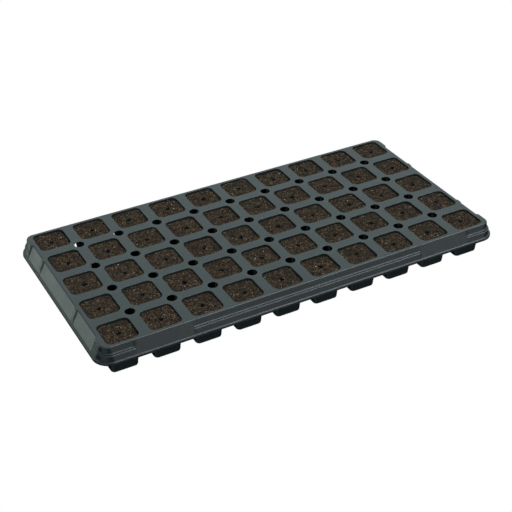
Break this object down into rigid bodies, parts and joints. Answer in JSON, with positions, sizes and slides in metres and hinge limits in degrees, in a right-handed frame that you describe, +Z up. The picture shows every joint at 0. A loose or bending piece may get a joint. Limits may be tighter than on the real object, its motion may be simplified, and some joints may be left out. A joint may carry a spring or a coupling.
{
  "type": "plug tray",
  "caption": "Shallow rectangular plastic plug tray with square tapered cells and round vent holes, each cell filled with a removable plug of growing medium.",
  "frame": {"origin": "under the middle of the tray, on the plane that the cell bottoms stand on", "axes": "+X along the long side, +Y across it, towards the back, +Z up"},
  "size_m": [0.526, 0.262, 0.042],
  "materials": {
    "slate_plastic": "satin thermoformed polystyrene, dark slate grey",
    "growing_medium": "loose, moist and fibrous peat and coir mix"
  },
  "bodies": {
    "tray": {"tray": "slate_plastic"},
    "soil_plug_r1_c01": {"soil_plug_r1_c01": "growing_medium"},
    "soil_plug_r1_c02": {"soil_plug_r1_c02": "growing_medium"},
    "soil_plug_r1_c03": {"soil_plug_r1_c03": "growing_medium"},
    "soil_plug_r1_c04": {"soil_plug_r1_c04": "growing_medium"},
    "soil_plug_r1_c05": {"soil_plug_r1_c05": "growing_medium"},
    "soil_plug_r1_c06": {"soil_plug_r1_c06": "growing_medium"},
    "soil_plug_r1_c07": {"soil_plug_r1_c07": "growing_medium"},
    "soil_plug_r1_c08": {"soil_plug_r1_c08": "growing_medium"},
    "soil_plug_r1_c09": {"soil_plug_r1_c09": "growing_medium"},
    "soil_plug_r1_c10": {"soil_plug_r1_c10": "growing_medium"},
    "soil_plug_r2_c01": {"soil_plug_r2_c01": "growing_medium"},
    "soil_plug_r2_c02": {"soil_plug_r2_c02": "growing_medium"},
    "soil_plug_r2_c03": {"soil_plug_r2_c03": "growing_medium"},
    "soil_plug_r2_c04": {"soil_plug_r2_c04": "growing_medium"},
    "soil_plug_r2_c05": {"soil_plug_r2_c05": "growing_medium"},
    "soil_plug_r2_c06": {"soil_plug_r2_c06": "growing_medium"},
    "soil_plug_r2_c07": {"soil_plug_r2_c07": "growing_medium"},
    "soil_plug_r2_c08": {"soil_plug_r2_c08": "growing_medium"},
    "soil_plug_r2_c09": {"soil_plug_r2_c09": "growing_medium"},
    "soil_plug_r2_c10": {"soil_plug_r2_c10": "growing_medium"},
    "soil_plug_r3_c01": {"soil_plug_r3_c01": "growing_medium"},
    "soil_plug_r3_c02": {"soil_plug_r3_c02": "growing_medium"},
    "soil_plug_r3_c03": {"soil_plug_r3_c03": "growing_medium"},
    "soil_plug_r3_c04": {"soil_plug_r3_c04": "growing_medium"},
    "soil_plug_r3_c05": {"soil_plug_r3_c05": "growing_medium"},
    "soil_plug_r3_c06": {"soil_plug_r3_c06": "growing_medium"},
    "soil_plug_r3_c07": {"soil_plug_r3_c07": "growing_medium"},
    "soil_plug_r3_c08": {"soil_plug_r3_c08": "growing_medium"},
    "soil_plug_r3_c09": {"soil_plug_r3_c09": "growing_medium"},
    "soil_plug_r3_c10": {"soil_plug_r3_c10": "growing_medium"},
    "soil_plug_r4_c01": {"soil_plug_r4_c01": "growing_medium"},
    "soil_plug_r4_c02": {"soil_plug_r4_c02": "growing_medium"},
    "soil_plug_r4_c03": {"soil_plug_r4_c03": "growing_medium"},
    "soil_plug_r4_c04": {"soil_plug_r4_c04": "growing_medium"},
    "soil_plug_r4_c05": {"soil_plug_r4_c05": "growing_medium"},
    "soil_plug_r4_c06": {"soil_plug_r4_c06": "growing_medium"},
    "soil_plug_r4_c07": {"soil_plug_r4_c07": "growing_medium"},
    "soil_plug_r4_c08": {"soil_plug_r4_c08": "growing_medium"},
    "soil_plug_r4_c09": {"soil_plug_r4_c09": "growing_medium"},
    "soil_plug_r4_c10": {"soil_plug_r4_c10": "growing_medium"},
    "soil_plug_r5_c01": {"soil_plug_r5_c01": "growing_medium"},
    "soil_plug_r5_c02": {"soil_plug_r5_c02": "growing_medium"},
    "soil_plug_r5_c03": {"soil_plug_r5_c03": "growing_medium"},
    "soil_plug_r5_c04": {"soil_plug_r5_c04": "growing_medium"},
    "soil_plug_r5_c05": {"soil_plug_r5_c05": "growing_medium"},
    "soil_plug_r5_c06": {"soil_plug_r5_c06": "growing_medium"},
    "soil_plug_r5_c07": {"soil_plug_r5_c07": "growing_medium"},
    "soil_plug_r5_c08": {"soil_plug_r5_c08": "growing_medium"},
    "soil_plug_r5_c09": {"soil_plug_r5_c09": "growing_medium"},
    "soil_plug_r5_c10": {"soil_plug_r5_c10": "growing_medium"}
  },
  "joints": [
    {"name": "lift_r1_c01", "type": "slide", "parent": "tray", "child": "soil_plug_r1_c01", "axis": [0, 0, 1], "range_m": [0, 0.05]},
    {"name": "lift_r1_c02", "type": "slide", "parent": "tray", "child": "soil_plug_r1_c02", "axis": [0, 0, 1], "range_m": [0, 0.05]},
    {"name": "lift_r1_c03", "type": "slide", "parent": "tray", "child": "soil_plug_r1_c03", "axis": [0, 0, 1], "range_m": [0, 0.05]},
    {"name": "lift_r1_c04", "type": "slide", "parent": "tray", "child": "soil_plug_r1_c04", "axis": [0, 0, 1], "range_m": [0, 0.05]},
    {"name": "lift_r1_c05", "type": "slide", "parent": "tray", "child": "soil_plug_r1_c05", "axis": [0, 0, 1], "range_m": [0, 0.05]},
    {"name": "lift_r1_c06", "type": "slide", "parent": "tray", "child": "soil_plug_r1_c06", "axis": [0, 0, 1], "range_m": [0, 0.05]},
    {"name": "lift_r1_c07", "type": "slide", "parent": "tray", "child": "soil_plug_r1_c07", "axis": [0, 0, 1], "range_m": [0, 0.05]},
    {"name": "lift_r1_c08", "type": "slide", "parent": "tray", "child": "soil_plug_r1_c08", "axis": [0, 0, 1], "range_m": [0, 0.05]},
    {"name": "lift_r1_c09", "type": "slide", "parent": "tray", "child": "soil_plug_r1_c09", "axis": [0, 0, 1], "range_m": [0, 0.05]},
    {"name": "lift_r1_c10", "type": "slide", "parent": "tray", "child": "soil_plug_r1_c10", "axis": [0, 0, 1], "range_m": [0, 0.05]},
    {"name": "lift_r2_c01", "type": "slide", "parent": "tray", "child": "soil_plug_r2_c01", "axis": [0, 0, 1], "range_m": [0, 0.05]},
    {"name": "lift_r2_c02", "type": "slide", "parent": "tray", "child": "soil_plug_r2_c02", "axis": [0, 0, 1], "range_m": [0, 0.05]},
    {"name": "lift_r2_c03", "type": "slide", "parent": "tray", "child": "soil_plug_r2_c03", "axis": [0, 0, 1], "range_m": [0, 0.05]},
    {"name": "lift_r2_c04", "type": "slide", "parent": "tray", "child": "soil_plug_r2_c04", "axis": [0, 0, 1], "range_m": [0, 0.05]},
    {"name": "lift_r2_c05", "type": "slide", "parent": "tray", "child": "soil_plug_r2_c05", "axis": [0, 0, 1], "range_m": [0, 0.05]},
    {"name": "lift_r2_c06", "type": "slide", "parent": "tray", "child": "soil_plug_r2_c06", "axis": [0, 0, 1], "range_m": [0, 0.05]},
    {"name": "lift_r2_c07", "type": "slide", "parent": "tray", "child": "soil_plug_r2_c07", "axis": [0, 0, 1], "range_m": [0, 0.05]},
    {"name": "lift_r2_c08", "type": "slide", "parent": "tray", "child": "soil_plug_r2_c08", "axis": [0, 0, 1], "range_m": [0, 0.05]},
    {"name": "lift_r2_c09", "type": "slide", "parent": "tray", "child": "soil_plug_r2_c09", "axis": [0, 0, 1], "range_m": [0, 0.05]},
    {"name": "lift_r2_c10", "type": "slide", "parent": "tray", "child": "soil_plug_r2_c10", "axis": [0, 0, 1], "range_m": [0, 0.05]},
    {"name": "lift_r3_c01", "type": "slide", "parent": "tray", "child": "soil_plug_r3_c01", "axis": [0, 0, 1], "range_m": [0, 0.05]},
    {"name": "lift_r3_c02", "type": "slide", "parent": "tray", "child": "soil_plug_r3_c02", "axis": [0, 0, 1], "range_m": [0, 0.05]},
    {"name": "lift_r3_c03", "type": "slide", "parent": "tray", "child": "soil_plug_r3_c03", "axis": [0, 0, 1], "range_m": [0, 0.05]},
    {"name": "lift_r3_c04", "type": "slide", "parent": "tray", "child": "soil_plug_r3_c04", "axis": [0, 0, 1], "range_m": [0, 0.05]},
    {"name": "lift_r3_c05", "type": "slide", "parent": "tray", "child": "soil_plug_r3_c05", "axis": [0, 0, 1], "range_m": [0, 0.05]},
    {"name": "lift_r3_c06", "type": "slide", "parent": "tray", "child": "soil_plug_r3_c06", "axis": [0, 0, 1], "range_m": [0, 0.05]},
    {"name": "lift_r3_c07", "type": "slide", "parent": "tray", "child": "soil_plug_r3_c07", "axis": [0, 0, 1], "range_m": [0, 0.05]},
    {"name": "lift_r3_c08", "type": "slide", "parent": "tray", "child": "soil_plug_r3_c08", "axis": [0, 0, 1], "range_m": [0, 0.05]},
    {"name": "lift_r3_c09", "type": "slide", "parent": "tray", "child": "soil_plug_r3_c09", "axis": [0, 0, 1], "range_m": [0, 0.05]},
    {"name": "lift_r3_c10", "type": "slide", "parent": "tray", "child": "soil_plug_r3_c10", "axis": [0, 0, 1], "range_m": [0, 0.05]},
    {"name": "lift_r4_c01", "type": "slide", "parent": "tray", "child": "soil_plug_r4_c01", "axis": [0, 0, 1], "range_m": [0, 0.05]},
    {"name": "lift_r4_c02", "type": "slide", "parent": "tray", "child": "soil_plug_r4_c02", "axis": [0, 0, 1], "range_m": [0, 0.05]},
    {"name": "lift_r4_c03", "type": "slide", "parent": "tray", "child": "soil_plug_r4_c03", "axis": [0, 0, 1], "range_m": [0, 0.05]},
    {"name": "lift_r4_c04", "type": "slide", "parent": "tray", "child": "soil_plug_r4_c04", "axis": [0, 0, 1], "range_m": [0, 0.05]},
    {"name": "lift_r4_c05", "type": "slide", "parent": "tray", "child": "soil_plug_r4_c05", "axis": [0, 0, 1], "range_m": [0, 0.05]},
    {"name": "lift_r4_c06", "type": "slide", "parent": "tray", "child": "soil_plug_r4_c06", "axis": [0, 0, 1], "range_m": [0, 0.05]},
    {"name": "lift_r4_c07", "type": "slide", "parent": "tray", "child": "soil_plug_r4_c07", "axis": [0, 0, 1], "range_m": [0, 0.05]},
    {"name": "lift_r4_c08", "type": "slide", "parent": "tray", "child": "soil_plug_r4_c08", "axis": [0, 0, 1], "range_m": [0, 0.05]},
    {"name": "lift_r4_c09", "type": "slide", "parent": "tray", "child": "soil_plug_r4_c09", "axis": [0, 0, 1], "range_m": [0, 0.05]},
    {"name": "lift_r4_c10", "type": "slide", "parent": "tray", "child": "soil_plug_r4_c10", "axis": [0, 0, 1], "range_m": [0, 0.05]},
    {"name": "lift_r5_c01", "type": "slide", "parent": "tray", "child": "soil_plug_r5_c01", "axis": [0, 0, 1], "range_m": [0, 0.05]},
    {"name": "lift_r5_c02", "type": "slide", "parent": "tray", "child": "soil_plug_r5_c02", "axis": [0, 0, 1], "range_m": [0, 0.05]},
    {"name": "lift_r5_c03", "type": "slide", "parent": "tray", "child": "soil_plug_r5_c03", "axis": [0, 0, 1], "range_m": [0, 0.05]},
    {"name": "lift_r5_c04", "type": "slide", "parent": "tray", "child": "soil_plug_r5_c04", "axis": [0, 0, 1], "range_m": [0, 0.05]},
    {"name": "lift_r5_c05", "type": "slide", "parent": "tray", "child": "soil_plug_r5_c05", "axis": [0, 0, 1], "range_m": [0, 0.05]},
    {"name": "lift_r5_c06", "type": "slide", "parent": "tray", "child": "soil_plug_r5_c06", "axis": [0, 0, 1], "range_m": [0, 0.05]},
    {"name": "lift_r5_c07", "type": "slide", "parent": "tray", "child": "soil_plug_r5_c07", "axis": [0, 0, 1], "range_m": [0, 0.05]},
    {"name": "lift_r5_c08", "type": "slide", "parent": "tray", "child": "soil_plug_r5_c08", "axis": [0, 0, 1], "range_m": [0, 0.05]},
    {"name": "lift_r5_c09", "type": "slide", "parent": "tray", "child": "soil_plug_r5_c09", "axis": [0, 0, 1], "range_m": [0, 0.05]},
    {"name": "lift_r5_c10", "type": "slide", "parent": "tray", "child": "soil_plug_r5_c10", "axis": [0, 0, 1], "range_m": [0, 0.05]}
  ]
}
